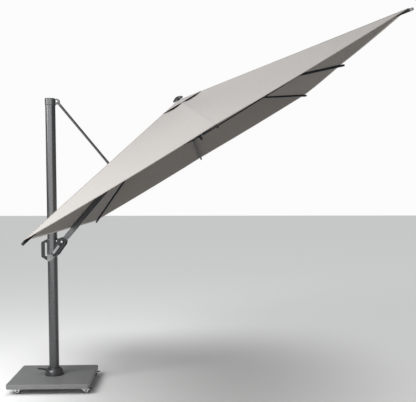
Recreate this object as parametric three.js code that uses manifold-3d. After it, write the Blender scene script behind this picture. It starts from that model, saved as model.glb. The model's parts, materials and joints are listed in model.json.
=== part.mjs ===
// Cantilever parasol: wheeled stone base, side mast, sliding lift with tilting boom, folding ribs and fabric.
// Millimetres, +Z up. The floor is Z 0 and the origin is midway along the whole parasol's footprint.
import * as THREE from "three";
import { mergeVertices } from "three/addons/utils/BufferGeometryUtils.js";
import Module from "manifold-3d";

const wasm = await Module();
wasm.setup();

// Driving dimensions
const mastX = -1195.3; // the mast stands this far left of the middle of the footprint
const gap = 0.3; // left between pieces that touch
const slabSide = 750;
const slabThick = 45;
const slabBottom = 55;
const casterInset = 60;
const stemRadius = 18; // caster stem
const stemSink = 4; // how far each stem is let into the slab
const wheelRadius = 26;
const wheelTrail = 32; // wheel axle behind the stem
const wheelHalf = 10; // half the hub's width
const forkInside = 12; // half the gap between the fork's plates
const forkOutside = 15;
const forkTop = 52.5;
const brakePin = [54, 45]; // X behind the stem, and Z
const socketRadius = 89;
const socketSink = 3; // how far the socket's foot is let into the slab
const pedalPin = [-72, 144.3];
const mastWide = 88;
const mastFoot = 110;
const mastTop = 2660;
const mastCorner = 27; // radius of the tube's corners
const grooveApart = 22;
const capTop = 2725;
const collarRadius = 56.4;
const canopyWide = 3000; // along the boom
const canopyDeep = 4000; // across the boom
const canopyRise = 500;
const canopyTilt = 31; // degrees, mast side down
const canopyMiddle = [1459, 2287]; // middle of the canopy's edge plane, X and Z from the mast's foot
const fabricThick = 1;
const ventShare = 0.1; // the vent opening, as a share of the canopy
const flapShare = 0.135; // the vent cap over it
const flapLift = 12;
const ribWide = 16;
const ribDeep = 20;
const ribDrop = 14.5; // rib axis below the fabric
const ribRoot = 28; // from the hinge to the tube, clear of the hub when folded
const hingeRadius = 62;
const stretcherReach = 1100; // along the rib from its hinge
const stretcherSide = 16; // beside the rib
const runnerPivotRadius = 48;
const runnerLevel = 104; // above the canopy's edge plane
const housingHalf = 49; // slider housing
const housingLow = 1262;
const housingHigh = 1405;
const yokeBolt = [50, 1391];
const boomDeep = 50;
const boomWide = 40;
const boomDrop = 30; // boom axis below the fabric
const boomTail = 147; // boom pin outside the fabric's edge
const strutPin = [63, 2697]; // X and Z from the mast's foot
const strutAlong = 830; // strut bracket from the boom pin
const strutRise = 55; // strut pivot above the boom axis
const forkLong = 70; // the strut's fork, from its cross bar to its pivot
const armInside = 20.5; // half the gap between the fork's arms, outside the boom
const armOutside = 25.5;
const slotLong = 90; // opening in the fabric for the bracket and the fork
const slotWide = 64;

const radians = Math.PI / 180;
const slabTop = slabBottom + slabThick;

const paints = {
  stone: { color: 0x83837f, roughness: 0.85, metalness: 0 },
  darkMetal: { color: 0x24272b, roughness: 0.45, metalness: 0.6 },
  greyMetal: { color: 0x8c8e90, roughness: 0.4, metalness: 0.7 },
  paleMetal: { color: 0xc4c6c8, roughness: 0.3, metalness: 0.9 },
  blackPlastic: { color: 0x17181a, roughness: 0.5, metalness: 0 },
  greyPlastic: { color: 0xa8a9a8, roughness: 0.55, metalness: 0 },
  whitePlastic: { color: 0xd8d8d6, roughness: 0.5, metalness: 0 },
  fabric: { color: 0xd8d4cd, roughness: 0.9, metalness: 0 },
};

const parasol = new THREE.Group();

function addPiece(name, shape, paint) {
  const geometry = shape.isBufferGeometry ? shape : asGeometry(shape);
  geometry.translate(mastX, 0, 0);
  const mesh = new THREE.Mesh(geometry, new THREE.MeshStandardMaterial(paints[paint]));
  mesh.name = name;
  parasol.add(mesh);
}

// Solids
function asSolid(geometry) {
  const bare = geometry.clone();
  bare.deleteAttribute("normal");
  bare.deleteAttribute("uv");
  const welded = mergeVertices(bare, 1e-4);
  const vertProperties = new Float32Array(welded.attributes.position.array);
  const triVerts = new Uint32Array(welded.index.array);
  return new wasm.Manifold(new wasm.Mesh({ numProp: 3, vertProperties, triVerts }));
}

function asGeometry(solid) {
  const mesh = solid.getMesh();
  const geometry = new THREE.BufferGeometry();
  geometry.setAttribute("position", new THREE.BufferAttribute(new Float32Array(mesh.vertProperties), 3));
  geometry.setIndex(new THREE.BufferAttribute(new Uint32Array(mesh.triVerts), 1));
  const faceted = geometry.toNonIndexed();
  faceted.computeVertexNormals();
  return faceted;
}

function join(...solids) {
  return solids.reduce((whole, solid) => whole.add(solid));
}

function cut(solid, ...tools) {
  return tools.reduce((whole, tool) => whole.subtract(tool), solid);
}

function moved(solid, matrix) {
  return solid.transform(matrix.elements);
}

// A box between two corners
function block(low, high) {
  const size = high.map((value, i) => value - low[i]);
  const geometry = new THREE.BoxGeometry(...size);
  geometry.translate(...low.map((value, i) => value + size[i] / 2));
  return asSolid(geometry);
}

// A round bar between two points
function rod(from, to, radius, sides = 20) {
  const start = new THREE.Vector3(...from);
  const run = new THREE.Vector3(...to).sub(start);
  const geometry = new THREE.CylinderGeometry(radius, radius, run.length(), sides);
  geometry.translate(0, run.length() / 2, 0);
  const turn = new THREE.Quaternion().setFromUnitVectors(new THREE.Vector3(0, 1, 0), run.clone().normalize());
  geometry.applyQuaternion(turn);
  geometry.translate(...from);
  return asSolid(geometry);
}

// A round bar along Y through a point of the X, Z plane
function alongY([x, z], fromY, toY, radius, sides = 20) {
  return rod([x, fromY, z], [x, toY, z], radius, sides);
}

// An outline in X and Z, given a thickness along Y from one side to the other
function plate(points, fromY, toY, bevel = 0) {
  const shape = new THREE.Shape(points.map(([x, z]) => new THREE.Vector2(x, z)));
  const options = { depth: toY - fromY - 2 * bevel, bevelEnabled: bevel > 0, bevelSegments: 1 };
  options.bevelThickness = bevel;
  options.bevelSize = bevel;
  options.bevelOffset = -bevel;
  const geometry = new THREE.ExtrudeGeometry(shape, options);
  geometry.rotateX(Math.PI / 2);
  geometry.translate(0, toY - bevel, 0);
  return asSolid(geometry);
}

// A bar of rectangular section between two points of the X, Z plane, with its wide side along Y
function flatBar(from, to, deep, wide, middleY = 0) {
  const along = new THREE.Vector2(to[0] - from[0], to[1] - from[1]);
  const side = new THREE.Vector2(-along.y, along.x).setLength(deep / 2);
  const points = [
    [from[0] + side.x, from[1] + side.y],
    [from[0] - side.x, from[1] - side.y],
    [to[0] - side.x, to[1] - side.y],
    [to[0] + side.x, to[1] + side.y],
  ];
  return plate(points, middleY - wide / 2, middleY + wide / 2);
}

// An outline of radius and height turned about the Z axis
function turned(profile, sides = 32) {
  const points = profile.map(([radius, height]) => new THREE.Vector2(radius, height));
  const geometry = new THREE.LatheGeometry(points, sides);
  geometry.rotateX(Math.PI / 2);
  return asSolid(geometry);
}

function roundedOutline(wide, deep, radius, steps = 5) {
  const points = [];
  for (let corner = 0; corner < 4; corner += 1) {
    const signX = corner === 0 || corner === 3 ? 1 : -1;
    const signY = corner < 2 ? 1 : -1;
    for (let step = 0; step <= steps; step += 1) {
      const angle = (corner + step / steps) * (Math.PI / 2);
      const x = signX * (wide / 2 - radius) + radius * Math.cos(angle);
      const y = signY * (deep / 2 - radius) + radius * Math.sin(angle);
      points.push([x, y]);
    }
  }
  return points;
}

// An upright prism of a rounded outline
function post(wide, deep, radius, fromZ, toZ, bevel = 0, steps = 5) {
  const outline = roundedOutline(wide, deep, radius, steps);
  const shape = new THREE.Shape(outline.map(([x, y]) => new THREE.Vector2(x, y)));
  const options = { depth: toZ - fromZ - 2 * bevel, bevelEnabled: bevel > 0, bevelSegments: 2 };
  options.bevelThickness = bevel;
  options.bevelSize = bevel;
  options.bevelOffset = -bevel;
  const geometry = new THREE.ExtrudeGeometry(shape, options);
  geometry.translate(0, 0, fromZ + bevel);
  return asSolid(geometry);
}

// Base slab, let in for the mast socket's foot and the caster stems
const casterReach = slabSide / 2 - casterInset;
const casters = [
  { name: "front_left", x: -casterReach, y: -casterReach },
  { name: "front_right", x: casterReach, y: -casterReach },
  { name: "back_left", x: -casterReach, y: casterReach },
  { name: "back_right", x: casterReach, y: casterReach },
];

function makeSlab() {
  const slab = post(slabSide, slabSide, 14, slabBottom, slabTop, 5);
  const recess = rod([0, 0, slabTop - socketSink], [0, 0, slabTop + 10], socketRadius + 2 * gap, 40);
  const sockets = casters.map(({ x, y }) => rod([x, y, 0], [x, y, slabBottom + stemSink], stemRadius + 0.5, 24));
  addPiece("base_slab", cut(slab, recess, ...sockets), "stone");
}
makeSlab();

// Swivel casters: the wheel trails its stem along +X
function makeCaster({ name, x, y }) {
  const spot = new THREE.Matrix4().makeTranslation(x, y, 0);
  const cheek = [[-16, forkTop], [-16, 47], [25, 18], [39, 17], [60, 41], [60, 49], [50, 49], [38, 34], [12, 47],
    [12, forkTop]];
  const [pinX, pinZ] = brakePin;
  const fork = join(
    rod([0, 0, 50], [0, 0, slabBottom + stemSink - gap], stemRadius, 24),
    plate(cheek, -forkOutside, -forkInside),
    plate(cheek, forkInside, forkOutside),
    block([-14, -forkInside - 2, 50], [8, forkInside + 2, forkTop]),
    rod([wheelTrail, -17, wheelRadius], [wheelTrail, 17, wheelRadius], 4, 14),
    rod([pinX, -14, pinZ], [pinX, 14, pinZ], 2, 10),
  );
  addPiece(`caster_${name}_fork`, moved(fork, spot), "paleMetal");

  const rim = wheelRadius;
  const profile = [
    [4.4, -wheelHalf], [9, -wheelHalf], [11, -7], [18, -7], [20, -9], [rim - 2, -9], [rim, -6.5],
    [rim, 6.5], [rim - 2, 9], [20, 9], [18, 7], [11, 7], [9, wheelHalf], [4.4, wheelHalf], [4.4, -wheelHalf],
  ];
  const onAxle = new THREE.Matrix4().makeTranslation(wheelTrail, 0, wheelRadius);
  onAxle.multiply(new THREE.Matrix4().makeRotationX(Math.PI / 2));
  addPiece(`caster_${name}_wheel`, moved(moved(turned(profile), onAxle), spot), "blackPlastic");

  const outline = [[48, 41], [61, 40], [84, 46], [87, 49], [86, 51], [60, 50.5], [50, 50], [47, 46]];
  const brake = cut(
    plate(outline, -10.5, 10.5, 0.8),
    rod([pinX, -forkInside, pinZ], [pinX, forkInside, pinZ], 2.6, 10),
    rod([wheelTrail, -forkInside, wheelRadius], [wheelTrail, forkInside, wheelRadius], wheelRadius + 1.2, 32),
  );
  addPiece(`caster_${name}_brake`, moved(brake, spot), "greyPlastic");
}
casters.forEach(makeCaster);

// Mast socket with the foot pedal that frees the mast to turn
function makeSocket() {
  const foot = slabTop - socketSink + gap;
  const low = slabTop + gap;
  const dome = [
    [0, foot], [socketRadius, foot], [socketRadius, low + 8], [88, low + 24], [84, low + 40], [77, low + 54],
    [70, low + 61], [62, low + 65], [collarRadius + 0.6, low + 65], [collarRadius + 0.6, low + 5], [0, low + 5],
  ];
  const [pinX, pinZ] = pedalPin;
  const slot = block([-100, -13, pinZ - 18], [-59.5, 13, pinZ + 26]);
  const pin = alongY(pedalPin, -16, 16, 4, 14);
  addPiece("mast_socket", join(cut(turned(dome, 40), slot), pin), "darkMetal");

  const arm = [[-62, 138], [-62, 150], [pinX, 155], [-90, 156], [-118, 160], [-156, 163], [-160, 158], [-156, 153],
    [-118, 149], [-94, 144], [pinX, 134.5]];
  const pad = block([-158, -19, 153.5], [-124, 19, 157.5]);
  const pedal = cut(join(plate(arm, -11, 11, 1), pad), alongY(pedalPin, -20, 20, 4.5, 14));
  addPiece("socket_pedal", pedal, "blackPlastic");
}
makeSocket();

// Mast: a rounded tube with two shallow grooves down each side, its foot collar and its cap
function makeMast() {
  const outside = post(mastWide, mastWide, mastCorner, mastFoot, mastTop);
  const inside = post(mastWide - 7, mastWide - 7, mastCorner - 3, 0, 3000);
  const grooves = [];
  for (const across of [-grooveApart / 2, grooveApart / 2]) {
    for (const outer of [-mastWide / 2, mastWide / 2]) {
      grooves.push(block([across - 1.5, outer - 1.2, 0], [across + 1.5, outer + 1.2, 3000]));
      grooves.push(block([outer - 1.2, across - 1.5, 0], [outer + 1.2, across + 1.5, 3000]));
    }
  }
  addPiece("mast", cut(outside, inside, ...grooves), "greyMetal");

  const collarFoot = slabTop + 5.6;
  const collar = turned([[0, collarFoot], [collarRadius, collarFoot], [collarRadius, 171], [54, 174], [0, 174]], 40);
  const around = post(mastWide + 2 * gap, mastWide + 2 * gap, mastCorner + gap, mastFoot - gap, 300);
  addPiece("mast_foot", cut(collar, around), "darkMetal");

  const [pinX, pinZ] = strutPin;
  const body = post(94, 94, 28, mastTop + gap, capTop, 6);
  const plug = post(mastWide - 9, mastWide - 9, 23, mastTop - 45, mastTop + 5);
  const lugs = [];
  for (const y of [-17, 9]) {
    lugs.push(flatBar([20, 2690], strutPin, 50, 8, y + 4));
    lugs.push(alongY(strutPin, y, y + 8, 25, 24));
  }
  const relief = block([pinX - 28, -8.9, 2650], [pinX + 40, 8.9, 2740]);
  const cap = cut(join(body, plug, ...lugs), relief, alongY(strutPin, -30, 30, 8.3));
  addPiece("mast_cap", cap, "darkMetal");
  const pin = join(alongY(strutPin, -24, 21, 8), alongY(strutPin, -24, -17.5, 9.5));
  addPiece("mast_cap_pin", pin, "paleMetal");
}
makeMast();

// Canopy frame: u along the boom's side, v across it, n square to the canopy, with n 0 on its edge plane
const tilt = canopyTilt * radians;
const canopyFrame = new THREE.Matrix4().makeBasis(
  new THREE.Vector3(Math.cos(tilt), 0, Math.sin(tilt)),
  new THREE.Vector3(0, 1, 0),
  new THREE.Vector3(-Math.sin(tilt), 0, Math.cos(tilt)),
);
canopyFrame.setPosition(canopyMiddle[0], 0, canopyMiddle[1]);

// One radial direction of the canopy: r outward, t sideways, n up
function spoke(azimuth) {
  return new THREE.Matrix4().multiplyMatrices(canopyFrame, new THREE.Matrix4().makeRotationZ(azimuth));
}

const corner = Math.atan2(canopyDeep, canopyWide);
const cornerRun = Math.hypot(canopyDeep, canopyWide) / 2;
const ribs = [
  { name: "near_left", azimuth: corner - Math.PI, run: cornerRun },
  { name: "near_middle", azimuth: -Math.PI / 2, run: canopyDeep / 2 },
  { name: "near_right", azimuth: -corner, run: cornerRun },
  { name: "right_middle", azimuth: 0, run: canopyWide / 2 },
  { name: "far_right", azimuth: corner, run: cornerRun },
  { name: "far_middle", azimuth: Math.PI / 2, run: canopyDeep / 2 },
  { name: "far_left", azimuth: Math.PI - corner, run: cornerRun },
];

function ribLine(run) {
  const along = new THREE.Vector2(run, -canopyRise).normalize();
  const drop = ribDrop / along.x;
  const hinge = new THREE.Vector2(hingeRadius, canopyRise * (1 - hingeRadius / run) - drop);
  return { along, hinge, length: (run - hingeRadius) / along.x };
}

function pointAlong(line, distance) {
  return [line.hinge.x + line.along.x * distance, line.hinge.y + line.along.y * distance];
}

// A folding rib: a tube with a hinge eye and a closed tip, and its stretcher from the runner
function makeRib({ name, azimuth, run }) {
  const line = ribLine(run);
  const tip = line.length + 6;
  const tube = flatBar(pointAlong(line, ribRoot), pointAlong(line, tip), ribDeep, ribWide);
  const hollow = flatBar(pointAlong(line, ribRoot + 10), pointAlong(line, tip - 25), ribDeep - 3, ribWide - 3);
  const drain = flatBar(pointAlong(line, tip - 40), pointAlong(line, tip - 34), ribDeep + 4, 5);
  const tongue = flatBar(pointAlong(line, 0), pointAlong(line, ribRoot + 6), 16, 8);
  const [hingeR, hingeN] = pointAlong(line, 0);
  const eye = rod([hingeR, -4, hingeN], [hingeR, 4, hingeN], 10, 16);
  const bore = rod([hingeR, -9, hingeN], [hingeR, 9, hingeN], 3.6, 12);
  const rib = cut(join(cut(tube, hollow, drain), tongue, eye), bore);
  addPiece(`rib_${name}`, moved(rib, spoke(azimuth)), "darkMetal");

  const [jointR, jointN] = pointAlong(line, stretcherReach);
  const near = stretcherSide - 5;
  const far = stretcherSide + 5;
  const bar = flatBar([runnerPivotRadius, runnerLevel], [jointR, jointN], 12, far - near, stretcherSide);
  const stretcher = cut(
    join(
      bar,
      rod([runnerPivotRadius, near, runnerLevel], [runnerPivotRadius, far, runnerLevel], 8, 16),
      rod([jointR, near, jointN], [jointR, far, jointN], 6.5, 16),
      rod([jointR, ribWide / 2 + gap, jointN], [jointR, far + 2, jointN], 3.5, 12),
    ),
    rod([runnerPivotRadius, near - 5, runnerLevel], [runnerPivotRadius, far + 5, runnerLevel], 3.4, 12),
  );
  addPiece(`stretcher_${name}`, moved(stretcher, spoke(azimuth)), "darkMetal");
}
ribs.forEach(makeRib);

// Crown hub, its tube, the runner and the finial, turned about the canopy's axis
function makeHubs() {
  const boomSlope = canopyRise / (canopyWide / 2);
  let hub = rod([0, 0, 446], [0, 0, 480], 70, 40);
  let pins = null;
  for (const { azimuth, run } of ribs) {
    const turn = new THREE.Matrix4().makeRotationZ(azimuth);
    const { hinge } = ribLine(run);
    hub = hub.subtract(moved(block([hinge.x - 13, -4.6, 430], [90, 4.6, 500]), turn));
    const pin = moved(rod([hinge.x, -9, hinge.y], [hinge.x, 9, hinge.y], 3, 12), turn);
    pins = pins ? pins.add(pin) : pin;
  }
  const notchN = canopyRise - 56 * boomSlope - boomDrop / Math.cos(Math.atan(boomSlope));
  hub = cut(hub, block([-90, -17.5, notchN - 25], [-47, 17.5, 500]));
  addPiece("crown_hub", moved(join(hub, pins), canopyFrame), "darkMetal");

  const tubeFoot = runnerLevel + 2;
  addPiece("crown_tube", moved(rod([0, 0, tubeFoot], [0, 0, 446 - gap], 15, 24), canopyFrame), "paleMetal");

  const low = runnerLevel - 6;
  const high = runnerLevel + 20;
  const ring = [[0, low], [52, low], [57, low + 4], [57, high - 4], [53, high], [22, high], [22, high + 16],
    [0, high + 16]];
  let runner = cut(turned(ring, 40), rod([0, 0, tubeFoot - 3], [0, 0, high + 30], 15.6, 24));
  let runnerPins = null;
  for (const { azimuth } of ribs) {
    const turn = new THREE.Matrix4().makeRotationZ(azimuth);
    const near = stretcherSide - 5.6;
    const far = stretcherSide + 5.6;
    const notch = block([runnerPivotRadius - 11, near, runnerLevel - 12], [70, far, high + 30]);
    runner = runner.subtract(moved(notch, turn));
    const pin = moved(alongY([runnerPivotRadius, runnerLevel], near - 3, far + 3, 3, 12), turn);
    runnerPins = runnerPins ? runnerPins.add(pin) : pin;
  }
  addPiece("runner", moved(join(runner, runnerPins), canopyFrame), "darkMetal");

  const knob = turned([[0, 66], [7, 68], [11, 72], [13, 79], [11, 86], [8, 90], [16, low - gap], [0, low - gap]]);
  addPiece("runner_knob", moved(knob, canopyFrame), "blackPlastic");

  const finial = turned([[0, 480 + gap], [10, 480 + gap], [10, 503], [52, 503], [53, 508], [48, 517], [38, 524],
    [24, 528], [20, 533], [0, 534]], 36);
  addPiece("crown_finial", moved(finial, canopyFrame), "darkMetal");
}
makeHubs();

// Boom, in the X, Z plane: its axis runs under the fabric from the crown to the slider
const boomAngle = tilt + Math.atan2(canopyRise, canopyWide / 2);
const boomAlong = new THREE.Vector2(Math.cos(boomAngle), Math.sin(boomAngle));
const boomUp = new THREE.Vector2(-boomAlong.y, boomAlong.x);
const edgeX = canopyMiddle[0] - (canopyWide / 2) * Math.cos(tilt);
const edgeZ = canopyMiddle[1] - (canopyWide / 2) * Math.sin(tilt);
const boomPin = [
  edgeX - boomDrop * boomUp.x - boomTail * boomAlong.x,
  edgeZ - boomDrop * boomUp.y - boomTail * boomAlong.y,
];
const ridge = Math.hypot(canopyWide / 2, canopyRise);

function onBoom(along, up = 0) {
  return [
    boomPin[0] + boomAlong.x * along + boomUp.x * up,
    boomPin[1] + boomAlong.y * along + boomUp.y * up,
  ];
}

function makeBoom() {
  const boomEnd = boomTail + ridge - 82;
  const walls = flatBar(onBoom(62), onBoom(boomEnd), boomDeep, boomWide);
  const inside = flatBar(onBoom(0), onBoom(boomEnd + 50), boomDeep - 5, boomWide - 5);
  addPiece("boom", cut(walls, inside), "greyMetal");

  const barrel = alongY(onBoom(0), -48, 48, 19, 28);
  const neck = flatBar(onBoom(4), onBoom(62 - gap), boomDeep - 4, boomWide + 4);
  const plug = flatBar(onBoom(50), onBoom(130), boomDeep - 6, boomWide - 6);
  addPiece("boom_foot", cut(join(barrel, neck, plug), alongY(onBoom(0), -60, 60, 8.4)), "darkMetal");

  const head = flatBar(onBoom(boomEnd - 80), onBoom(boomEnd + 12), boomDeep - 12, boomWide - 6);
  addPiece("boom_head", head, "darkMetal");

  const pivot = onBoom(strutAlong, strutRise);
  const base = boomDeep / 2 + gap;
  const cheek = (y) => join(
    flatBar(onBoom(strutAlong, base), pivot, 26, 5, y),
    alongY(pivot, y - 2.5, y + 2.5, 13),
  );
  const foot = flatBar(onBoom(strutAlong - 24, base + 2), onBoom(strutAlong + 24, base + 2), 4, 37);
  const bracket = cut(join(foot, cheek(-16), cheek(16)), alongY(pivot, -30, 30, 5.3, 16));
  addPiece("strut_bracket", bracket, "darkMetal");
  addPiece("strut_pin", alongY(pivot, -armInside + 0.6, armInside - 0.6, 5, 16), "paleMetal");

  // The strut: an eye at the mast cap, and at the boom a fork whose arms pass outside the bracket and the boom
  const run = new THREE.Vector2(pivot[0] - strutPin[0], pivot[1] - strutPin[1]);
  const fromTop = (distance) => [
    strutPin[0] + (run.x / run.length()) * distance,
    strutPin[1] + (run.y / run.length()) * distance,
  ];
  const [highX, highZ] = fromTop(42);
  const [lowX, lowZ] = fromTop(run.length() - forkLong - 8);
  const arm = (y) => join(
    flatBar(fromTop(run.length() - forkLong - 8), pivot, 16, armOutside - armInside, y),
    alongY(pivot, y - (armOutside - armInside) / 2, y + (armOutside - armInside) / 2, 11),
  );
  const armMiddle = (armInside + armOutside) / 2;
  const strut = join(
    rod([highX, 0, highZ], [lowX, 0, lowZ], 12),
    flatBar(strutPin, fromTop(60), 24, 16),
    alongY(strutPin, -8, 8, 14),
    flatBar(fromTop(run.length() - forkLong - 22), fromTop(run.length() - forkLong), 22, 2 * armOutside),
    arm(-armMiddle),
    arm(armMiddle),
    alongY(pivot, -armOutside - 3.5, -armOutside, 8, 6),
    alongY(pivot, armOutside, armOutside + 3.5, 8, 6),
  );
  addPiece("strut", cut(strut, alongY(strutPin, -20, 20, 8.5)), "greyMetal");
}
makeBoom();

// Slider: housing on the mast with liner, pointed cup, hand grip, yoke and the tilt lever
function makeSlider() {
  const bore = post(mastWide + 5.6, mastWide + 5.6, 30, 1000, 1600);
  const housing = post(2 * housingHalf, 2 * housingHalf, 32, housingLow, housingHigh, 4);
  addPiece("slider_housing", cut(housing, bore), "darkMetal");
  const sleeve = post(mastWide + 5, mastWide + 5, 29.7, housingLow + 4, housingHigh - 4);
  addPiece("slider_liner", cut(sleeve, post(mastWide + 1, mastWide + 1, 27.5, 1000, 1600)), "whitePlastic");

  const under = [[-90, 1150], [90, 1150], [90, 1256], [50, 1246], [32, 1239], [10, 1219], [0, 1208], [-20, 1197],
    [-34, 1198], [-49, 1206], [-90, 1230]];
  const skirt = post(2 * housingHalf - 1, 2 * housingHalf - 1, 32, 1190, housingLow - gap);
  addPiece("slider_cup", cut(skirt, bore, plate(under, -90, 90)), "blackPlastic");

  const inner = -housingHalf - gap;
  const outer = [[inner, 1204], [inner, 1403], [-54, 1403], [-100, 1379], [-104, 1370], [-104, 1242], [-100, 1234],
    [-56, 1206]];
  const opening = [[-40, 1241], [-40, 1372], [-68, 1372], [-74, 1366], [-74, 1247], [-68, 1241]];
  addPiece("slider_handle", cut(plate(outer, -16, 16, 3), plate(opening, -40, 40)), "blackPlastic");

  const cheek = [[46, 1408], [88, 1422], [128, 1404], [137, 1388], [131, 1358], [56, 1254], [40, 1246], [9, 1244]];
  const cheekIn = housingHalf + gap;
  const cheekOut = cheekIn + 7.7;
  const yoke = cut(
    join(
      plate(cheek, -cheekOut, -cheekIn, 1),
      plate(cheek, cheekIn, cheekOut, 1),
      block([56, -cheekIn - 1, 1290], [64, cheekIn + 1, 1330]),
    ),
    alongY(boomPin, -80, 80, 8.4),
    alongY(yokeBolt, -80, 80, 4.4, 14),
  );
  addPiece("slider_yoke", yoke, "darkMetal");
  const pin = join(
    alongY(boomPin, -76, cheekOut + 5, 8),
    alongY(boomPin, -78, -73.5, 9.5),
    alongY(boomPin, cheekOut + gap, cheekOut + 7, 12),
  );
  addPiece("boom_pin", pin, "paleMetal");
  const bolt = join(
    alongY(yokeBolt, -cheekOut - 5, -housingHalf - 0.2, 4, 14),
    alongY(yokeBolt, -cheekOut - 5, -cheekOut - gap, 6, 14),
  );
  addPiece("yoke_bolt", bolt, "paleMetal");

  const [pinX, pinZ] = boomPin;
  const lever = join(
    alongY(boomPin, -73, -60, 15, 24),
    flatBar(boomPin, [pinX - 34, pinZ - 44], 16, 8, -66),
    flatBar([pinX - 28, pinZ - 36], [pinX - 90, pinZ - 120], 22, 13, -66.5),
  );
  addPiece("tilt_lever", cut(lever, alongY(boomPin, -90, -50, 8.6)), "greyPlastic");
}
makeSlider();

// Canopy fabric: one panel about each rib and one about the boom, each with its part of the vent cap
function heightAt(u, v) {
  return canopyRise * (1 - Math.max((2 * Math.abs(u)) / canopyWide, (2 * Math.abs(v)) / canopyDeep));
}

// A thin sheet over plan points, listed round its edge, fanned from the first point
function sheet(points, lift) {
  const top = points.map(([u, v]) => [u, v, heightAt(u, v) + lift]);
  const low = top.map(([u, v, n]) => [u, v, n - fabricThick]);
  const corners = [...top, ...low];
  const count = points.length;
  const faces = [];
  for (let i = 1; i < count - 1; i += 1) {
    faces.push([0, i, i + 1], [count, count + i + 1, count + i]);
  }
  for (let i = 0; i < count; i += 1) {
    const next = (i + 1) % count;
    faces.push([i, count + i, count + next], [i, count + next, next]);
  }
  const geometry = new THREE.BufferGeometry();
  geometry.setAttribute("position", new THREE.Float32BufferAttribute(corners.flat(), 3));
  geometry.setIndex(faces.flat());
  return asSolid(geometry);
}

// The point on the canopy's outline at a direction, scaled towards the crown
function outlinePoint(azimuth, share) {
  const u = Math.cos(azimuth);
  const v = Math.sin(azimuth);
  const reach = share / Math.max((2 * Math.abs(u)) / canopyWide, (2 * Math.abs(v)) / canopyDeep);
  return [u * reach, v * reach];
}

function makePanel(name, azimuth, before, after) {
  const seamGap = 2e-4; // radians from each seam line
  const start = before + seamGap;
  const end = after - seamGap;
  const band = (from, to, lift) => sheet(
    [outlinePoint(azimuth, from), outlinePoint(start, from), outlinePoint(start, to), outlinePoint(azimuth, to),
      outlinePoint(end, to), outlinePoint(end, from)],
    lift,
  );
  const [seamU, seamV] = outlinePoint(azimuth, (ventShare + flapShare) / 2);
  const seamN = heightAt(seamU, seamV);
  const seam = block([seamU - 4, seamV - 4, seamN - 0.6], [seamU + 4, seamV + 4, seamN + flapLift - 0.4]);
  let panel = join(band(ventShare, 1, 0), band(0.02, flapShare, flapLift), seam);
  if (name === "boom") {
    const share = (strutAlong - boomTail) / ridge;
    const slotU = -(canopyWide / 2) * (1 - share);
    const slotLow = [slotU - slotLong / 2, -slotWide / 2, -100];
    panel = panel.subtract(block(slotLow, [slotU + slotLong / 2, slotWide / 2, canopyRise + 100]));
  }
  addPiece(`canopy_${name}`, moved(panel, canopyFrame), "fabric");
}

// Seams between panels run from the crown to points halfway along the edge between two rib tips
function seamBetween(first, second) {
  const one = outlinePoint(first, 1);
  const two = outlinePoint(second, 1);
  return Math.atan2((one[1] + two[1]) / 2, (one[0] + two[0]) / 2);
}

const lines = [{ name: "boom", azimuth: -Math.PI }, ...ribs, { name: "boom", azimuth: Math.PI }];
for (let i = 1; i < lines.length; i += 1) {
  const { name, azimuth } = lines[i];
  const before = seamBetween(lines[i - 1].azimuth, azimuth);
  const afterTurn = i + 1 < lines.length ? seamBetween(azimuth, lines[i + 1].azimuth) : 2 * Math.PI - before;
  makePanel(name, azimuth, before, afterTurn);
}

export default parasol;
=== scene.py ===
# Cantilever parasol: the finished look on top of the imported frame. Metres, +Z up, floor at Z 0.
import bpy
import bmesh
from math import hypot, pi, radians, sin
from mathutils import Matrix, Vector, noise
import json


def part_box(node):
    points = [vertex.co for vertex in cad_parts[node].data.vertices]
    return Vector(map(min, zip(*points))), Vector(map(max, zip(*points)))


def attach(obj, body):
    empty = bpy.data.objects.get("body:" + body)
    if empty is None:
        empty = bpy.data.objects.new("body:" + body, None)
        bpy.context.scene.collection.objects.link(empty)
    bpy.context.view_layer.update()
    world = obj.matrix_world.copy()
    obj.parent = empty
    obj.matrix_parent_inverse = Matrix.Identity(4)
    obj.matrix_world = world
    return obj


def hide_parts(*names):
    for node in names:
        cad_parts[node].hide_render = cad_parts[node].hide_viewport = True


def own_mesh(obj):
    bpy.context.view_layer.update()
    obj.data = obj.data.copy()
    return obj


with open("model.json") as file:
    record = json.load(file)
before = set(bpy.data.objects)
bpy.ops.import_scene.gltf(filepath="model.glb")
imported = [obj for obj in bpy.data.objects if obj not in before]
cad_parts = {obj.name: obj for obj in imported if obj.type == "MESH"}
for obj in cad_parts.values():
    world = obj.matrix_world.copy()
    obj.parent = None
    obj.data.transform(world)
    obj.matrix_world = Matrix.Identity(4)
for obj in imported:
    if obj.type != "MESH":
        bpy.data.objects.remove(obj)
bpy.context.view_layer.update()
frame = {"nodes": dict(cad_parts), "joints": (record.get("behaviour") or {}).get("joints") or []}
nodes = frame["nodes"]
joints = {joint["name"]: joint for joint in frame["joints"]}
mastX = joints["mast_turn"]["pos_m"][0]

# Camera first: it stands in front, a little above eye height, and looks slightly down
viewPoint = {
    "right": 1.2366, "back": 6.7312, "high": 1.8084,  # metres from the mast's foot
    "turn": 2.074, "down": 4.045,  # degrees
    "lens": 60.94, "sensor": 36, "rise": 0.109,
}


def makeCamera():
    data = bpy.data.cameras.new("viewCamera")
    camera = bpy.data.objects.new("viewCamera", data)
    bpy.context.collection.objects.link(camera)
    camera.location = (mastX + viewPoint["right"], -viewPoint["back"], viewPoint["high"])
    camera.rotation_euler = (radians(90 - viewPoint["down"]), 0, radians(-viewPoint["turn"]))
    data.lens = viewPoint["lens"]
    data.sensor_width = viewPoint["sensor"]
    data.shift_y = viewPoint["rise"]
    data.clip_end = 100
    bpy.context.scene.camera = camera


makeCamera()
print("camera placed")

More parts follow.
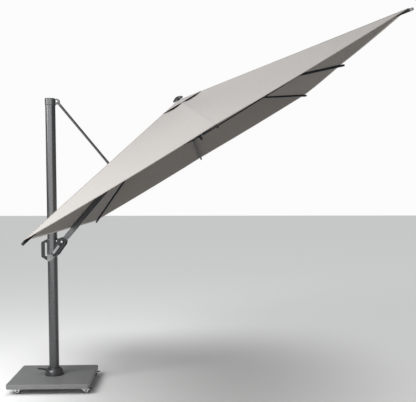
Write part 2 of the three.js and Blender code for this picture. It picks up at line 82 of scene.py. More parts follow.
# Studio: pale floor, a broad soft box on the left, a weak sky that leaves the far sides dark
studio = {
    "floor": (0.95, 0.95, 0.945), "sky": 0.2, "backdrop": 0.97,
    "key": {"power": 200, "wide": 3.0, "high": 2.4, "place": (-3.6, -3.0, 3.8), "aim": (-1.3, 0, 1.6)},
    "front": {"power": 62, "wide": 1.5, "high": 3.4, "place": (-2.4, -6.2, 2.2), "aim": (-1.2, 0, 1.6)},
    "floorSun": {"power": 1.35, "angle": 50, "tilt": (0, 6)},
}


def softBox(name, look):
    data = bpy.data.lights.new(name, "AREA")
    data.shape = "RECTANGLE"
    data.energy = look["power"]
    data.size = look["wide"]
    data.size_y = look["high"]
    light = bpy.data.objects.new(name, data)
    bpy.context.collection.objects.link(light)
    light.location = look["place"]
    aim = Vector(look["aim"]) - Vector(look["place"])
    light.rotation_euler = aim.to_track_quat("-Z", "Y").to_euler()


def makeStudio():
    bpy.ops.mesh.primitive_plane_add(size=120, location=(0, 0, 0))
    floor = bpy.context.object
    floor.name = "studioFloor"
    paint = bpy.data.materials.new("studioFloor")
    paint.use_nodes = True
    shader = paint.node_tree.nodes["Principled BSDF"]
    shader.inputs["Base Color"].default_value = (*studio["floor"], 1)
    shader.inputs["Roughness"].default_value = 0.9
    floor.data.materials.append(paint)
    world = bpy.data.worlds.new("studioSky")
    world.use_nodes = True
    tree = world.node_tree
    sky = tree.nodes["Background"]
    sky.inputs["Color"].default_value = (0.95, 0.97, 1, 1)
    sky.inputs["Strength"].default_value = studio["sky"]
    backdrop = tree.nodes.new("ShaderNodeBackground")
    backdrop.inputs["Color"].default_value = (1, 1, 1, 1)
    backdrop.inputs["Strength"].default_value = studio["backdrop"]
    paths = tree.nodes.new("ShaderNodeLightPath")
    either = tree.nodes.new("ShaderNodeMixShader")
    tree.links.new(paths.outputs["Is Camera Ray"], either.inputs[0])
    tree.links.new(sky.outputs[0], either.inputs[1])
    tree.links.new(backdrop.outputs[0], either.inputs[2])
    tree.links.new(either.outputs[0], tree.nodes["World Output"].inputs["Surface"])
    bpy.context.scene.world = world
    bpy.context.scene.view_settings.view_transform = "Standard"
    softBox("keyLight", studio["key"])
    softBox("frontLight", studio["front"])
    data = bpy.data.lights.new("floorSun", "SUN")
    data.energy = studio["floorSun"]["power"]
    data.angle = radians(studio["floorSun"]["angle"])
    sun = bpy.data.objects.new("floorSun", data)
    bpy.context.collection.objects.link(sun)
    tiltX, tiltY = studio["floorSun"]["tilt"]
    sun.rotation_euler = (radians(tiltX), radians(tiltY), 0)


makeStudio()
print("studio lit")


# Shared effects
def newGroup(name, inputs, outputs):
    group = bpy.data.node_groups.new(name, "ShaderNodeTree")
    for socketName, kind, value in inputs:
        socket = group.interface.new_socket(socketName, in_out="INPUT", socket_type=kind)
        if value is not None:
            socket.default_value = value
    for socketName, kind in outputs:
        group.interface.new_socket(socketName, in_out="OUTPUT", socket_type=kind)
    start = group.nodes.new("NodeGroupInput")
    end = group.nodes.new("NodeGroupOutput")
    return group, start, end


def mathNode(tree, operation, first, second=None):
    node = tree.nodes.new("ShaderNodeMath")
    node.operation = operation
    for socket, value in zip(node.inputs, (first, second)):
        if isinstance(value, (int, float)):
            socket.default_value = value
        elif value is not None:
            tree.links.new(value, socket)
    return node.outputs[0]


def noiseNode(tree, vector, scale, detail=3.0, roughness=0.5):
    node = tree.nodes.new("ShaderNodeTexNoise")
    tree.links.new(vector, node.inputs["Vector"])
    node.inputs["Detail"].default_value = detail
    node.inputs["Roughness"].default_value = roughness
    if isinstance(scale, (int, float)):
        node.inputs["Scale"].default_value = scale
    else:
        tree.links.new(scale, node.inputs["Scale"])
    return node.outputs["Fac"]


def rampNode(tree, value, low, high):
    node = tree.nodes.new("ShaderNodeMapRange")
    node.interpolation_type = "SMOOTHSTEP"
    tree.links.new(value, node.inputs["Value"])
    node.inputs["From Min"].default_value = low
    node.inputs["From Max"].default_value = high
    return node.outputs["Result"]


# Fine powder or cast grain: a height for bump, and a soft blotch for colour
def makeGrainGroup():
    group, start, end = newGroup(
        "surfaceGrain",
        (("Vector", "NodeSocketVector", None), ("Scale", "NodeSocketFloat", 900.0)),
        (("Height", "NodeSocketFloat"), ("Blotch", "NodeSocketFloat")),
    )
    fine = noiseNode(group, start.outputs["Vector"], start.outputs["Scale"], 2.0)
    broad = noiseNode(group, start.outputs["Vector"], 9.0, 4.0)
    group.links.new(fine, end.inputs["Height"])
    group.links.new(broad, end.inputs["Blotch"])
    return group


# Dust and scuffs: a mask that gathers on faces that look up and in random rubbed patches
def makeDustGroup():
    group, start, end = newGroup(
        "dustAndScuffs",
        (("Vector", "NodeSocketVector", None), ("Amount", "NodeSocketFloat", 0.3)),
        (("Mask", "NodeSocketFloat"),),
    )
    geometry = group.nodes.new("ShaderNodeNewGeometry")
    split = group.nodes.new("ShaderNodeSeparateXYZ")
    group.links.new(geometry.outputs["Normal"], split.inputs[0])
    upward = rampNode(group, split.outputs["Z"], 0.2, 1.0)
    patches = rampNode(group, noiseNode(group, start.outputs["Vector"], 14.0, 6.0, 0.65), 0.48, 0.72)
    specks = rampNode(group, noiseNode(group, start.outputs["Vector"], 160.0, 2.0), 0.6, 0.72)
    lying = mathNode(group, "MULTIPLY", upward, patches)
    rubbed = mathNode(group, "MULTIPLY", specks, 0.35)
    both = mathNode(group, "MAXIMUM", lying, rubbed)
    group.links.new(mathNode(group, "MULTIPLY", both, start.outputs["Amount"]), end.inputs["Mask"])
    return group


# Plain weave from a cloth map in metres
def makeWeaveGroup():
    group, start, end = newGroup(
        "plainWeave",
        (("Map", "NodeSocketVector", None), ("Threads", "NodeSocketFloat", 700.0)),
        (("Height", "NodeSocketFloat"), ("Slub", "NodeSocketFloat")),
    )
    split = group.nodes.new("ShaderNodeSeparateXYZ")
    group.links.new(start.outputs["Map"], split.inputs[0])
    turns = mathNode(group, "MULTIPLY", start.outputs["Threads"], 2 * pi)
    across = mathNode(group, "SINE", mathNode(group, "MULTIPLY", split.outputs["X"], turns))
    along = mathNode(group, "SINE", mathNode(group, "MULTIPLY", split.outputs["Y"], turns))
    group.links.new(mathNode(group, "MULTIPLY", across, along), end.inputs["Height"])
    stretched = group.nodes.new("ShaderNodeMapping")
    stretched.inputs["Scale"].default_value = (220, 9, 1)
    group.links.new(start.outputs["Map"], stretched.inputs["Vector"])
    group.links.new(noiseNode(group, stretched.outputs[0], 1.0, 3.0), end.inputs["Slub"])
    return group


grainGroup = makeGrainGroup()
dustGroup = makeDustGroup()
weaveGroup = makeWeaveGroup()


# A material's shell: the shader, its coordinates and a bump
def newFinish(name, look):
    finish = bpy.data.materials.new(name)
    finish.use_nodes = True
    tree = finish.node_tree
    shader = tree.nodes["Principled BSDF"]
    shader.inputs["Metallic"].default_value = look.get("metallic", 0.0)
    shader.inputs["Specular IOR Level"].default_value = look.get("specular", 0.5)
    place = tree.nodes.new("ShaderNodeTexCoord")
    return finish, tree, shader, place


def groupNode(tree, group, vector, **values):
    node = tree.nodes.new("ShaderNodeGroup")
    node.node_tree = group
    tree.links.new(vector, node.inputs[0])
    for key, value in values.items():
        node.inputs[key].default_value = value
    return node


def mixColour(tree, share, first, second):
    node = tree.nodes.new("ShaderNodeMix")
    node.data_type = "RGBA"
    tree.links.new(share, node.inputs[0])
    for socket, value in ((node.inputs[6], first), (node.inputs[7], second)):
        if isinstance(value, (tuple, list)):
            socket.default_value = (*value[:3], 1)
        else:
            tree.links.new(value, socket)
    return node.outputs[2]


def addBump(tree, shader, height, strength, distance):
    bump = tree.nodes.new("ShaderNodeBump")
    bump.inputs["Strength"].default_value = strength
    bump.inputs["Distance"].default_value = distance
    tree.links.new(height, bump.inputs["Height"])
    tree.links.new(bump.outputs[0], shader.inputs["Normal"])


# Powder coat, cast metal and moulded plastic: one recipe, with its own colours, grain and dust
def coatedFinish(name, look):
    finish, tree, shader, place = newFinish(name, look)
    grain = groupNode(tree, grainGroup, place.outputs["Object"], Scale=look["grain"])
    dust = groupNode(tree, dustGroup, place.outputs["Object"], Amount=look["dust"])
    shade = rampNode(tree, grain.outputs["Blotch"], 0.35, 0.65)
    body = mixColour(tree, shade, look["dark"], look["light"])
    dusty = mixColour(tree, dust.outputs["Mask"], body, look["dustColour"])
    tree.links.new(dusty, shader.inputs["Base Color"])
    rough = mathNode(tree, "ADD", mathNode(tree, "MULTIPLY", shade, 0.12), look["roughness"])
    dustRough = mathNode(tree, "MULTIPLY", dust.outputs["Mask"], 0.4)
    tree.links.new(mathNode(tree, "ADD", rough, dustRough), shader.inputs["Roughness"])
    addBump(tree, shader, grain.outputs["Height"], look["bump"], 0.0004)
    return finish


boomSlope = radians(40.6)  # the way the boom's lines run


# Drawn tube: fine lines run along it, from a cloudy noise stretched along its length
def drawnFinish(name, look, along):
    finish, tree, shader, place = newFinish(name, look)
    turned = tree.nodes.new("ShaderNodeMapping")
    turned.vector_type = "TEXTURE"
    turned.inputs["Rotation"].default_value = (0, along, 0)
    tree.links.new(place.outputs["Object"], turned.inputs["Vector"])
    lines = tree.nodes.new("ShaderNodeMapping")
    lines.inputs["Scale"].default_value = (420, 420, 1.6)
    tree.links.new(turned.outputs[0], lines.inputs["Vector"])
    streaks = noiseNode(tree, lines.outputs[0], 1.0, 4.0, 0.6)
    dust = groupNode(tree, dustGroup, place.outputs["Object"], Amount=look["dust"])
    shade = rampNode(tree, streaks, 0.3, 0.7)
    body = mixColour(tree, shade, look["dark"], look["light"])
    dusty = mixColour(tree, dust.outputs["Mask"], body, look["dustColour"])
    tree.links.new(dusty, shader.inputs["Base Color"])
    rough = mathNode(tree, "ADD", mathNode(tree, "MULTIPLY", shade, 0.14), look["roughness"])
    tree.links.new(rough, shader.inputs["Roughness"])
    addBump(tree, shader, streaks, 0.12, 0.0003)
    return finish


# Granite: fine crystals, most of them mid grey and some pale or dark
def stoneFinish(name, look):
    finish, tree, shader, place = newFinish(name, look)
    cells = tree.nodes.new("ShaderNodeTexVoronoi")
    cells.inputs["Scale"].default_value = look["crystals"]
    tree.links.new(place.outputs["Object"], cells.inputs["Vector"])
    tone = tree.nodes.new("ShaderNodeSeparateColor")
    tree.links.new(cells.outputs["Color"], tone.inputs[0])
    pale = rampNode(tree, tone.outputs[0], 0.62, 0.9)
    black = rampNode(tree, tone.outputs[1], 0.72, 0.9)
    cloud = rampNode(tree, noiseNode(tree, place.outputs["Object"], 5.0, 5.0), 0.35, 0.65)
    body = mixColour(tree, cloud, look["dark"], look["mid"])
    body = mixColour(tree, pale, body, look["light"])
    body = mixColour(tree, black, body, look["fleck"])
    tree.links.new(body, shader.inputs["Base Color"])
    rough = mathNode(tree, "ADD", mathNode(tree, "MULTIPLY", pale, -0.2), look["roughness"])
    tree.links.new(rough, shader.inputs["Roughness"])
    addBump(tree, shader, noiseNode(tree, place.outputs["Object"], 480.0, 3.0), look["bump"], 0.0006)
    return finish


# Awning cloth on its own map: weave, slubs and soft creases
def clothFinish(name, look):
    finish, tree, shader, place = newFinish(name, look)
    weave = groupNode(tree, weaveGroup, place.outputs["UV"], Threads=look["threads"])
    slub = rampNode(tree, weave.outputs["Slub"], 0.35, 0.7)
    cloud = rampNode(tree, noiseNode(tree, place.outputs["Object"], 1.6, 4.0), 0.3, 0.7)
    body = mixColour(tree, slub, look["dark"], look["light"])
    body = mixColour(tree, mathNode(tree, "MULTIPLY", cloud, 0.35), body, look["worn"])
    tree.links.new(body, shader.inputs["Base Color"])
    shader.inputs["Roughness"].default_value = 0.92
    shader.inputs["Sheen Weight"].default_value = look["sheen"]
    shader.inputs["Sheen Roughness"].default_value = 0.5
    creases = tree.nodes.new("ShaderNodeMapping")
    creases.inputs["Scale"].default_value = (14, 1.7, 1)
    tree.links.new(place.outputs["UV"], creases.inputs["Vector"])
    crease = mathNode(tree, "MULTIPLY", noiseNode(tree, creases.outputs[0], 1.0, 3.0), 2.2)
    threads = mathNode(tree, "MULTIPLY", weave.outputs["Height"], 0.1)
    addBump(tree, shader, mathNode(tree, "ADD", crease, threads), look["bump"], 0.004)
    return finish


# The tilt lever's grip is pale between a black eye and a black end, by the distance from its pin
leverGrip = {"from": 0.046, "endLong": 0.024, "black": (0.012, 0.012, 0.013)}


def leverFinish(name, look):
    finish = coatedFinish(name, look)
    tree = finish.node_tree
    colour = tree.nodes["Principled BSDF"].inputs["Base Color"]
    pin = Vector(joints["tilt_lever_swing"]["pos_m"])
    low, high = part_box("tilt_lever")
    reach = max(hypot(x - pin.x, z - pin.z) for x in (low.x, high.x) for z in (low.z, high.z))
    place = tree.nodes.new("ShaderNodeTexCoord")
    flat = tree.nodes.new("ShaderNodeMapping")
    flat.inputs["Location"].default_value = (-pin.x, 0, -pin.z)
    flat.inputs["Scale"].default_value = (1, 0, 1)
    tree.links.new(place.outputs["Object"], flat.inputs["Vector"])
    away = tree.nodes.new("ShaderNodeVectorMath")
    away.operation = "LENGTH"
    tree.links.new(flat.outputs[0], away.inputs[0])
    past = mathNode(tree, "GREATER_THAN", away.outputs["Value"], leverGrip["from"])
    short = mathNode(tree, "LESS_THAN", away.outputs["Value"], reach - leverGrip["endLong"])
    grip = mathNode(tree, "MULTIPLY", past, short)
    tree.links.new(mixColour(tree, grip, leverGrip["black"], colour.links[0].from_socket), colour)
    return finish


finishes = {
    "stone": stoneFinish("graniteSlab", {
        "dark": (0.2, 0.203, 0.203), "mid": (0.22, 0.22, 0.218), "light": (0.3, 0.3, 0.295),
        "fleck": (0.11, 0.11, 0.112), "roughness": 0.42, "crystals": 480, "bump": 0.08}),
    "darkFrame": coatedFinish("darkPowderCoat", {
        "dark": (0.008, 0.010, 0.014), "light": (0.018, 0.021, 0.027), "dustColour": (0.16, 0.155, 0.15),
        "roughness": 0.36, "grain": 1100.0, "dust": 0.3, "bump": 0.25, "metallic": 0.2}),
    "blackPlastic": coatedFinish("blackMouldedPlastic", {
        "dark": (0.008, 0.008, 0.009), "light": (0.018, 0.018, 0.020), "dustColour": (0.18, 0.17, 0.16),
        "roughness": 0.45, "grain": 700.0, "dust": 0.35, "bump": 0.35}),
    "greyPlastic": coatedFinish("greyGripPlastic", {
        "dark": (0.26, 0.265, 0.262), "light": (0.32, 0.325, 0.322), "dustColour": (0.22, 0.2, 0.18),
        "roughness": 0.5, "grain": 500.0, "dust": 0.3, "bump": 0.4}),
    "leverGrip": leverFinish("leverGripPlastic", {
        "dark": (0.26, 0.265, 0.262), "light": (0.32, 0.325, 0.322), "dustColour": (0.22, 0.2, 0.18),
        "roughness": 0.5, "grain": 500.0, "dust": 0.3, "bump": 0.4}),
    "cupGrey": coatedFinish("cupGreyPlastic", {
        "dark": (0.17, 0.172, 0.17), "light": (0.21, 0.212, 0.21), "dustColour": (0.16, 0.15, 0.14),
        "roughness": 0.4, "grain": 500.0, "dust": 0.2, "bump": 0.3}),
    "whitePlastic": coatedFinish("whiteWheelPlastic", {
        "dark": (0.6, 0.6, 0.58), "light": (0.72, 0.72, 0.7), "dustColour": (0.3, 0.27, 0.23),
        "roughness": 0.4, "grain": 500.0, "dust": 0.4, "bump": 0.25}),
    "brightMetal": coatedFinish("polishedPinSteel", {
        "dark": (0.34, 0.345, 0.355), "light": (0.45, 0.455, 0.46), "dustColour": (0.2, 0.18, 0.16),
        "roughness": 0.3, "grain": 600.0, "dust": 0.35, "bump": 0.1, "metallic": 1.0}),
    "casterChrome": coatedFinish("casterChrome", {
        "dark": (0.75, 0.75, 0.76), "light": (0.85, 0.85, 0.86), "dustColour": (0.35, 0.33, 0.3),
        "roughness": 0.25, "grain": 600.0, "dust": 0.2, "bump": 0.1, "metallic": 0.35}),
    "tyre": coatedFinish("rubberTread", {
        "dark": (0.02, 0.02, 0.02), "light": (0.04, 0.04, 0.04), "dustColour": (0.22, 0.2, 0.18),
        "roughness": 0.7, "grain": 900.0, "dust": 0.6, "bump": 0.5}),
    "mast": drawnFinish("mastGraphiteTube", {
        "dark": (0.08, 0.081, 0.083), "light": (0.11, 0.111, 0.113), "roughness": 0.24, "metallic": 0.85,
        "dustColour": (0.5, 0.48, 0.44), "dust": 0.12}, 0.0),
    "boom": drawnFinish("boomGraphiteTube", {
        "dark": (0.08, 0.081, 0.083), "light": (0.11, 0.111, 0.113), "roughness": 0.28, "metallic": 0.8,
        "dustColour": (0.5, 0.48, 0.44), "dust": 0.12}, boomSlope),
    "casting": coatedFinish("graphiteCasting", {
        "dark": (0.08, 0.081, 0.083), "light": (0.1, 0.101, 0.103), "dustColour": (0.2, 0.195, 0.19),
        "roughness": 0.24, "grain": 900.0, "dust": 0.2, "bump": 0.12, "metallic": 0.6}),
    "axleCap": coatedFinish("axleCap", {
        "dark": (0.01, 0.01, 0.01), "light": (0.02, 0.02, 0.02), "dustColour": (0.15, 0.14, 0.13),
        "roughness": 0.35, "grain": 900.0, "dust": 0.3, "bump": 0.2}),
    "cloth": clothFinish("canopyCloth", {
        "dark": (0.425, 0.405, 0.385), "light": (0.465, 0.445, 0.425), "worn": (0.435, 0.41, 0.388),
        "threads": 700.0, "sheen": 0.1, "bump": 0.12}),
    # The underside's darker taupe is painted shade: the cloth is the same colour on both faces
    "clothPaintedShade": clothFinish("canopyClothPaintedShade", {
        "dark": (0.165, 0.15, 0.133), "light": (0.19, 0.173, 0.154), "worn": (0.165, 0.145, 0.127),
        "threads": 700.0, "sheen": 0.05, "bump": 0.12}),
    "hem": clothFinish("canopyHemTape", {
        "dark": (0.35, 0.32, 0.292), "light": (0.41, 0.375, 0.345), "worn": (0.36, 0.325, 0.3),
        "threads": 900.0, "sheen": 0.1, "bump": 0.1}),
}
print("finishes mixed")


def dress(finish, *names):
    for name in names:
        piece = nodes[name]
        if piece.material_slots:
            piece.material_slots[0].material = finishes[finish]
        else:
            piece.data.materials.append(finishes[finish])


ribNames = ["near_left", "near_middle", "near_right", "right_middle", "far_right", "far_middle", "far_left"]
casterNames = ["front_left", "front_right", "back_left", "back_right"]
dress("stone", "base_slab")
dress("mast", "mast")
dress("boom", "boom", "strut", "boom_foot")
dress("casting", "mast_socket", "mast_foot", "mast_cap", "slider_housing", "crown_finial")
dress("darkFrame", "slider_yoke", "boom_head", "strut_bracket", "crown_hub", "runner")
dress("darkFrame", *[f"rib_{name}" for name in ribNames], *[f"stretcher_{name}" for name in ribNames])
dress("brightMetal", "mast_cap_pin", "boom_pin", "yoke_bolt", "strut_pin", "crown_tube")
dress("casterChrome", *[f"caster_{name}_fork" for name in casterNames])
dress("tyre", *[f"caster_{name}_wheel" for name in casterNames])
dress("blackPlastic", "socket_pedal", "slider_handle", "runner_knob")
dress("blackPlastic", *[f"caster_{name}_brake" for name in casterNames])
dress("leverGrip", "tilt_lever")
dress("cupGrey", "slider_cup")
dress("whitePlastic", "slider_liner")
print("frame dressed")

# Canopy, in its own frame: u from the mast outwards, v across, n square to the cloth's edge plane
canopy = {
    "wide": 3.0, "deep": 4.0, "rise": 0.5, "sag": 0.026, "edgeSag": 0.006, "scallop": 0.005,
    "ventShare": 0.1, "flapShare": 0.135, "flapLift": 0.0025, "flapBillow": 0.002, "thick": 0.0009,
    "flapHole": 0.022, "hemWide": 0.02, "tapeWide": 0.009, "tapeMap": 0.012,
    "slotLong": 0.092, "slotWide": 0.066, "ripple": 0.006, "rippleScale": 2.3,
    "bandThick": 0.0007, "hemLift": 0.0011, "flapHemLift": 0.0009, "tapeLift": 0.0012, "flapHemFrom": 0.94,
    "foldedShare": 0.07, "columns": 10, "rows": 44, "flapRows": 10, "tapeRows": 40,
}
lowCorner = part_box("canopy_near_left")[0]
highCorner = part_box("canopy_near_right")[1]
uphill = Vector((highCorner.x - lowCorner.x, 0, highCorner.z - lowCorner.z)).normalized()
square = Vector((-uphill.z, 0, uphill.x))
middle = Vector(((lowCorner.x + highCorner.x) / 2, 0, (lowCorner.z + highCorner.z) / 2))
halfWide = canopy["wide"] / 2
halfDeep = canopy["deep"] / 2
tips = {
    "boom": (-halfWide, 0), "near_left": (-halfWide, -halfDeep), "near_middle": (0, -halfDeep),
    "near_right": (halfWide, -halfDeep), "right_middle": (halfWide, 0), "far_right": (halfWide, halfDeep),
    "far_middle": (0, halfDeep), "far_left": (-halfWide, halfDeep),
}
lineNames = list(tips)


def inRow(u, v, n):
    return middle + uphill * u + Vector((0, v, 0)) + square * n


# From a line's tip half the way to the next line's tip on one side, where the seam ends
def towardsSeam(name, step):
    neighbour = lineNames[(lineNames.index(name) + step) % len(lineNames)]
    return (Vector(tips[neighbour]) - Vector(tips[name])) / 2


# A point of the cloth: side is the share of the way to the seam on either hand, out the share from the crown
def clothPoint(name, side, out, lift=0.0, flap=False):
    step = 1 if side > 0 else -1
    spot = Vector(tips[name]) + towardsSeam(name, step) * abs(side)
    between = abs(side) * (2 - abs(side))
    plan = spot * out
    height = canopy["rise"] * (1 - out) + lift
    if flap:
        height += canopy["flapLift"] + canopy["flapBillow"] * between * (out / canopy["flapShare"]) ** 2
    else:
        plan *= 1 - canopy["scallop"] * between * out ** 6
        belly = sin(pi * out) if out < 1 else 0.0
        height -= between * (canopy["sag"] * belly ** 0.8 + canopy["edgeSag"] * out)
        ripple = noise.noise(Vector((plan.x * canopy["rippleScale"], plan.y * canopy["rippleScale"], 0.5)))
        height += canopy["ripple"] * ripple * between * belly
    return inRow(plan.x, plan.y, height)


# Flat area of the cloth from a line to the seam beside it, crown to edge, from the canopy's sizes alone
def sideArea(name, step):
    tip = Vector(tips[name])
    half = towardsSeam(name, step)
    plan = abs(half.x * tip.y - half.y * tip.x) / 2
    toEdge = 2 * plan / half.length
    return plan * hypot(toEdge, canopy["rise"]) / toEdge


def clothMesh(name, columns, rows, makePoint, mapPoint):
    points = [makePoint(column, row) for row in rows for column in columns]
    wide = len(columns)
    faces = []
    for i in range(len(rows) - 1):
        for j in range(wide - 1):
            first = i * wide + j
            faces.append((first, first + wide, first + wide + 1, first + 1))
    mesh = bpy.data.meshes.new(name)
    mesh.from_pydata(points, [], faces)
    cloth = bpy.data.objects.new(name, mesh)
    bpy.context.collection.objects.link(cloth)
    layer = mesh.uv_layers.new(name="clothMap")
    spots = [mapPoint(column, row) for row in rows for column in columns]
    for loop in mesh.loops:
        layer.data[loop.index].uv = spots[loop.vertex_index]
    for polygon in mesh.polygons:
        polygon.use_smooth = True
    return cloth


def thicken(cloth, thick, offset):
    bpy.ops.object.select_all(action="DESELECT")
    cloth.select_set(True)
    bpy.context.view_layer.objects.active = cloth
    shell = cloth.modifiers.new("thickness", "SOLIDIFY")
    shell.thickness = thick
    shell.offset = offset
    bpy.ops.object.modifier_apply(modifier=shell.name)
    bpy.ops.object.shade_smooth_by_angle(angle=radians(35))


# The face underneath is painted a darker taupe: painted shade, as the cloth is the same colour on both faces
def paintShadeBelow(cloth):
    cloth.data.materials.append(finishes["cloth"])
    cloth.data.materials.append(finishes["clothPaintedShade"])
    for polygon in cloth.data.polygons:
        if polygon.normal.dot(square) < 0:
            polygon.material_index = 1


def spread(start, end, count):
    return [start + (end - start) * i / count for i in range(count + 1)]


# Hem above and below the edge, the flap's own hem, and a tape down the rib's line, joined into one trim
def makeTrim(name, sides, across, length, mapSpot):
    hemIn = 1 - canopy["hemWide"] / min(halfWide, halfDeep)
    hemRows = spread(hemIn, 1.0, 2)
    flapHemRows = [canopy["flapShare"] * canopy["flapHemFrom"], canopy["flapShare"]]
    bands = [
        clothMesh(f"trim_{name}", sides, hemRows,
                  lambda s, o: clothPoint(name, s, o, canopy["hemLift"]), mapSpot),
        clothMesh("hemUnder", sides, hemRows,
                  lambda s, o: clothPoint(name, s, o, -canopy["hemLift"]), mapSpot),
        clothMesh("flapHem", sides, flapHemRows,
                  lambda s, o: clothPoint(name, s, o, canopy["flapHemLift"], True), mapSpot),
    ]
    if name != "boom":
        def tapePoint(share, out):
            step = 1 if share > 0 else -1
            side = share * canopy["tapeWide"] / 2 / (out * across[step])
            return clothPoint(name, side, out, canopy["tapeLift"])

        tapeRows = spread(canopy["flapShare"] + 0.01, hemIn, canopy["tapeRows"])
        bands.append(clothMesh("seamTape", [-1, -0.4, 0, 0.4, 1], tapeRows, tapePoint,
                               lambda s, o: (s * canopy["tapeMap"], o * length)))
    for band in bands:
        thicken(band, canopy["bandThick"], 0)
        band.data.materials.append(finishes["hem" if band.name.startswith(("trim", "hem")) else "cloth"])
    bpy.ops.object.select_all(action="DESELECT")
    for band in bands:
        band.select_set(True)
    bpy.context.view_layer.objects.active = bands[0]
    bpy.ops.object.join()
    return bands[0]


# The cloth area of a part, less the vent opening and on the boom the strut slot; the result is not kept
def declareSheets(name):
    whole = sideArea(name, -1) + sideArea(name, 1)
    area = whole * (1 - canopy["ventShare"] ** 2)
    if name == "boom":
        area -= canopy["slotLong"] * canopy["slotWide"]


def makeCloth(name):
    onBoom = name == "boom"
    length = hypot(Vector(tips[name]).length, canopy["rise"])
    sides = spread(-1, -0.04, canopy["columns"]) + [0.0] + spread(0.04, 1, canopy["columns"])
    across = {step: 2 * sideArea(name, step) / length for step in (-1, 1)}
    across[0] = 1.0

    def mapSpot(side, out):
        step = (side > 0) - (side < 0)
        return (side * out * across[step], out * length)

    rows = spread(canopy["ventShare"], 1.0, canopy["rows"])
    top = clothMesh(f"cloth_{name}", sides, rows, lambda s, o: clothPoint(name, s, o), mapSpot)
    if onBoom:
        cutStrutSlot(top)
    flapRows = spread(canopy["flapHole"], canopy["flapShare"], canopy["flapRows"])
    flap = clothMesh(f"vent_{name}", sides, flapRows,
                     lambda s, o: clothPoint(name, s, o, 0, True), mapSpot)
    for cloth in (top, flap):
        thicken(cloth, canopy["thick"], -1)
        # Painted shade on the cloth's underside
        paintShadeBelow(cloth)
    trim = makeTrim(name, sides, across, length, mapSpot)
    declareSheets(name)

    for piece in (top, flap, trim):
        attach(piece, "boom" if onBoom else f"rib_{name}")
        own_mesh(piece)
    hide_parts(f"canopy_{name}")


# The opening round the strut bracket, with the cloth cut square
def cutStrutSlot(cloth):
    low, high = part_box("strut_bracket")
    centre = (low + high) / 2
    bpy.ops.object.select_all(action="DESELECT")
    cloth.select_set(True)
    bpy.context.view_layer.objects.active = cloth
    long = canopy["slotLong"] / 2
    wide = canopy["slotWide"] / 2
    sides = ((uphill, long), (-uphill, long), (Vector((0, 1, 0)), wide), (Vector((0, -1, 0)), wide))
    bpy.ops.object.mode_set(mode="EDIT")
    for direction, reach in sides:
        bpy.ops.mesh.select_all(action="SELECT")
        bpy.ops.mesh.bisect(plane_co=centre + direction * reach, plane_no=direction)
    mesh = bmesh.from_edit_mesh(cloth.data)
    for face in mesh.faces:
        spot = face.calc_center_median() - centre
        face.select_set(all(spot.dot(direction) < reach for direction, reach in sides))
    bmesh.update_edit_mesh(cloth.data)
    bpy.ops.mesh.delete(type="FACE")
    bpy.ops.object.mode_set(mode="OBJECT")


for lineName in lineNames:
    makeCloth(lineName)
print("canopy sewn")


# Small hardware, modelled from primitives
def finishPiece(piece, name, finish, body, bevel=0.0, segments=2):
    piece.name = name
    bpy.ops.object.transform_apply(location=True, rotation=True, scale=True)
    if bevel:
        edge = piece.modifiers.new("edge", "BEVEL")
        edge.width = bevel
        edge.segments = segments
        edge.limit_method = "ANGLE"
        bpy.ops.object.modifier_apply(modifier=edge.name)
    piece.data.materials.append(finishes[finish])
    bpy.ops.object.shade_smooth_by_angle(angle=radians(40))
    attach(piece, body)
    return piece


def selectOnly(test):
    mesh = bmesh.from_edit_mesh(bpy.context.object.data)
    for face in mesh.faces:
        face.select_set(test(face))
    mesh.select_flush_mode()
    bmesh.update_edit_mesh(bpy.context.object.data)


def deselectAll():
    if bpy.context.object and bpy.context.object.mode != "OBJECT":
        bpy.ops.object.mode_set(mode="OBJECT")
    bpy.ops.object.select_all(action="DESELECT")


# Rib tips: a round plug on the rib's end
ribTip = {
    "radius": 0.0105, "long": 0.02, "bevel": 0.004, "domeIn": 0.004, "domeOut": 0.003,
    "drop": 0.0145, "past": 0.014,  # the rib's axis under the cloth, and the plug's middle past its edge
}


def makeRibTip(name):
    tip = Vector(tips[name])
    hinge = Vector(joints[f"rib_{name}_fold"]["pos_m"])
    outer = inRow(tip.x, tip.y, -ribTip["drop"] * hypot(tip.length, canopy["rise"]) / tip.length)
    along = (outer - hinge).normalized()
    turn = along.to_track_quat("Z", "Y").to_matrix().to_4x4()
    deselectAll()
    bpy.ops.mesh.primitive_cylinder_add(vertices=28, radius=ribTip["radius"], depth=ribTip["long"])
    piece = bpy.context.object
    bpy.ops.object.mode_set(mode="EDIT")
    selectOnly(lambda face: face.normal.z > 0.9)
    bpy.ops.mesh.inset(thickness=ribTip["domeIn"])
    bpy.ops.mesh.extrude_region_move(TRANSFORM_OT_translate={"value": (0, 0, ribTip["domeOut"])})
    bpy.ops.object.mode_set(mode="OBJECT")
    piece.matrix_world = Matrix.Translation(outer + along * ribTip["past"]) @ turn
    finish = "greyPlastic" if name == "near_right" else "blackPlastic"
    finishPiece(piece, f"rib_tip_{name}", finish, f"rib_{name}", ribTip["bevel"])


for ribName in ribNames:
    makeRibTip(ribName)
print("rib tips fitted")

# Casters: a plate under the slab, and on each side a pale wheel disc and a black axle cap
caster = {
    "plate": 0.064, "plateThick": 0.0022, "plateGap": 0.0001,
    "discRadius": 0.017, "discThick": 0.003, "discOut": 0.0085, "ringWide": 0.005, "ringDeep": 0.0012,
    "capRadius": 0.0075, "capThick": 0.003, "capOut": 0.0187,
}


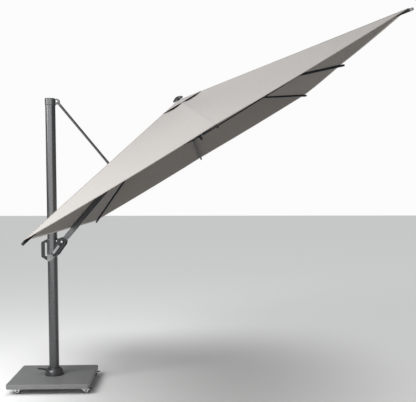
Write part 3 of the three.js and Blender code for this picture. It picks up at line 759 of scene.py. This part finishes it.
# Lays a new disc on the axle, facing out to one side
def ontoAxle(piece, axle, side, out):
    turn = Matrix.Rotation(radians(-90 * side), 4, "X")
    piece.matrix_world = Matrix.Translation(axle + Vector((0, side * out, 0))) @ turn


def makeWheelDisc(name, axle, side, sideName):
    deselectAll()
    bpy.ops.mesh.primitive_cylinder_add(vertices=32, radius=caster["discRadius"], depth=caster["discThick"])
    disc = bpy.context.object
    bpy.ops.object.mode_set(mode="EDIT")
    selectOnly(lambda face: face.normal.z > 0.9)
    for step in (-caster["ringDeep"], caster["ringDeep"]):
        bpy.ops.mesh.inset(thickness=caster["ringWide"])
        bpy.ops.mesh.extrude_region_move(TRANSFORM_OT_translate={"value": (0, 0, step)})
    bpy.ops.object.mode_set(mode="OBJECT")
    ontoAxle(disc, axle, side, caster["discOut"])
    discName = f"wheel_disc_{name}_{sideName}"
    finishPiece(disc, discName, "whitePlastic", f"wheel_{name}", 0.0004)


def makeAxleCap(name, axle, side, sideName):
    deselectAll()
    bpy.ops.mesh.primitive_cylinder_add(vertices=24, radius=caster["capRadius"], depth=caster["capThick"])
    cap = bpy.context.object
    ontoAxle(cap, axle, side, caster["capOut"])
    finishPiece(cap, f"axle_cap_{name}_{sideName}", "axleCap", f"caster_{name}", 0.0008)


def makeCasterTrim(name):
    swivel = Vector(joints[f"caster_{name}_swivel"]["pos_m"])
    axle = Vector(joints[f"caster_{name}_roll"]["pos_m"])
    for side, sideName in ((-1, "near"), (1, "far")):
        makeWheelDisc(name, axle, side, sideName)
        makeAxleCap(name, axle, side, sideName)
    deselectAll()
    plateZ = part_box("base_slab")[0].z - caster["plateThick"] / 2 - caster["plateGap"]
    bpy.ops.mesh.primitive_cube_add(size=1, location=(swivel.x, swivel.y, plateZ))
    plate = bpy.context.object
    plate.scale = (caster["plate"], caster["plate"], caster["plateThick"])
    finishPiece(plate, f"caster_plate_{name}", "brightMetal", "base", 0.0006)


for casterName in casterNames:
    makeCasterTrim(casterName)
print("casters trimmed")
